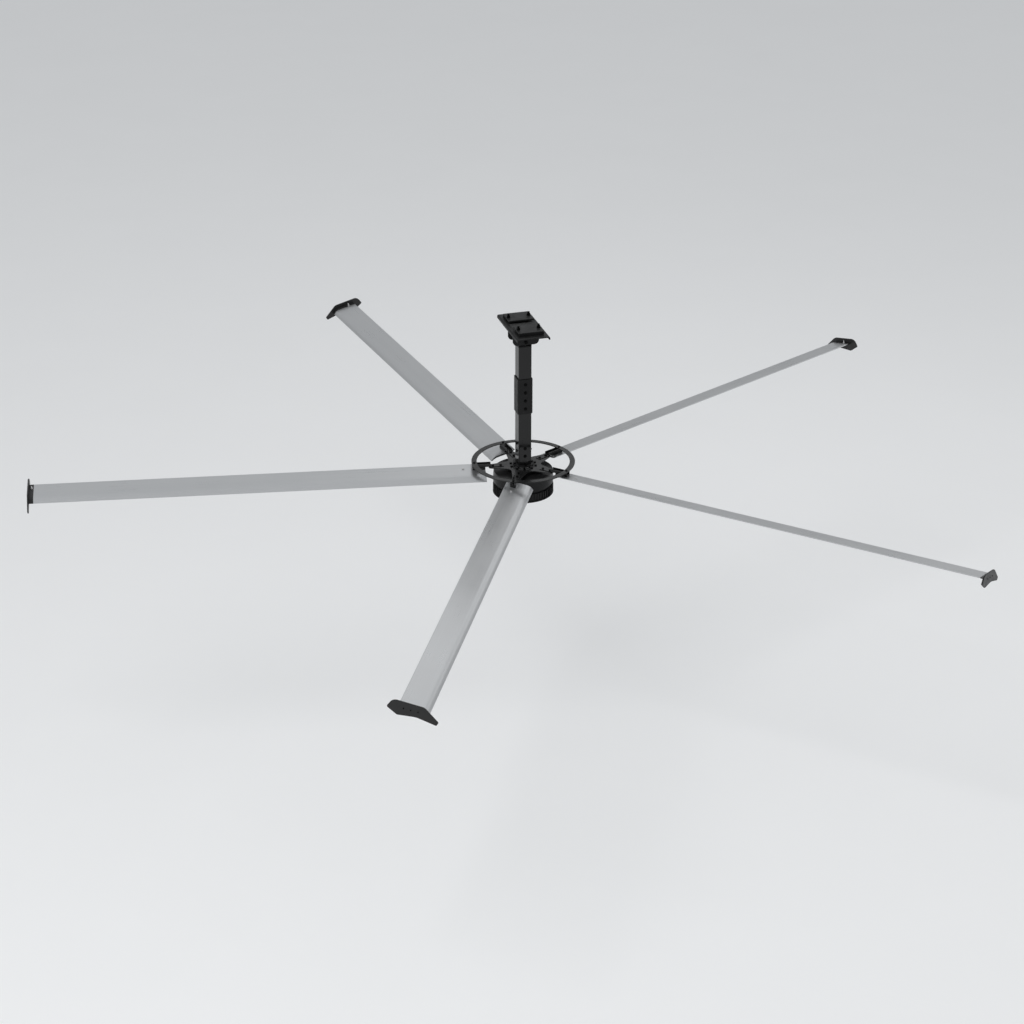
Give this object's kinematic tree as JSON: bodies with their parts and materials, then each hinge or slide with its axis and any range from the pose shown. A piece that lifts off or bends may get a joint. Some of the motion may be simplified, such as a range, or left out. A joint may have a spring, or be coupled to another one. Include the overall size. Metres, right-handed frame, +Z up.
{
  "type": "ceiling fan",
  "caption": "High volume low speed ceiling fan: hollow airfoil blades with end plates, direct-drive hub, square drop tube and a tilting beam-clamp head",
  "frame": {"origin": "middle of the seat under the beam's lower flange, on top of the beam pad", "axes": "+Z up, X along the supporting beam, Y across it; the blades turn about -Z through the origin"},
  "size_m": [7.0335, 7.0138, 1.397],
  "materials": {
    "frame_black": "satin",
    "tube_black": "gloss",
    "hub_black": "satin",
    "motor_black": "satin",
    "blade_aluminium": "satin",
    "end_plate_black": "matte",
    "dark_fastener": "satin",
    "seal_rubber": "matte",
    "gland_plastic": "matte",
    "machined_steel": "satin",
    "core_iron": "matte",
    "winding_copper": "satin"
  },
  "bodies": {
    "mount_head": {"base_channel": "frame_black", "beam_pad": "seal_rubber", "clamp_plate_front": "frame_black", "clamp_plate_rear": "frame_black", "clamp_bolts": "dark_fastener", "clamp_nuts": "dark_fastener", "clamp_washers": "dark_fastener", "yoke_ear_front": "frame_black", "yoke_ear_rear": "frame_black"},
    "pivot_cross": {"cross_block": "frame_black", "pivot_bolts": "dark_fastener"},
    "drop_tube": {"tube_head": "frame_black", "upper_tube": "tube_black", "lower_tube": "tube_black", "tube_coupler": "frame_black", "tube_foot": "frame_black", "coupler_bolts": "dark_fastener", "foot_cross_bolts": "dark_fastener", "tube_nuts": "dark_fastener", "foot_bolts": "dark_fastener", "cable_gland": "gland_plastic", "motor_spindle": "machined_steel", "spindle_locknut": "machined_steel", "stator_hub": "machined_steel", "stator_core": "core_iron", "stator_windings": "winding_copper", "bearing_inner_rings": "machined_steel"},
    "rotor": {"bearing_outer_rings": "machined_steel", "bearing_balls": "machined_steel", "shaft_seal": "seal_rubber", "top_cover": "motor_black", "rotor_casing": "motor_black", "casing_screws": "dark_fastener", "bottom_cover": "motor_black", "bottom_cover_screws": "dark_fastener", "rotor_magnets": "core_iron", "star_plate": "hub_black", "safety_ring": "hub_black", "star_bolts": "dark_fastener", "strut_bolts": "dark_fastener", "blade_bolts": "dark_fastener", "ring_bolts": "dark_fastener", "pitch_wedges": "hub_black", "blade_nut_bars": "machined_steel", "end_plate_screws": "dark_fastener", "blade_strut_1": "hub_black", "blade_1": "blade_aluminium", "end_plate_1": "end_plate_black", "blade_strut_2": "hub_black", "blade_2": "blade_aluminium", "end_plate_2": "end_plate_black", "blade_strut_3": "hub_black", "blade_3": "blade_aluminium", "end_plate_3": "end_plate_black", "blade_strut_4": "hub_black", "blade_4": "blade_aluminium", "end_plate_4": "end_plate_black", "blade_strut_5": "hub_black", "blade_5": "blade_aluminium", "end_plate_5": "end_plate_black"}
  },
  "joints": [
    {"name": "head_tilt_side", "type": "hinge", "parent": "mount_head", "child": "pivot_cross", "pos_m": [0, 0, -0.109], "axis": [0, 1, 0], "range_deg": [-10, 10]},
    {"name": "head_tilt_fore", "type": "hinge", "parent": "pivot_cross", "child": "drop_tube", "pos_m": [0, 0, -0.109], "axis": [1, 0, 0], "range_deg": [-10, 10]},
    {"name": "fan_spin", "type": "hinge", "parent": "drop_tube", "child": "rotor", "pos_m": [0, 0, -1.163], "axis": [0, 0, 1], "continuous": true}
  ]
}
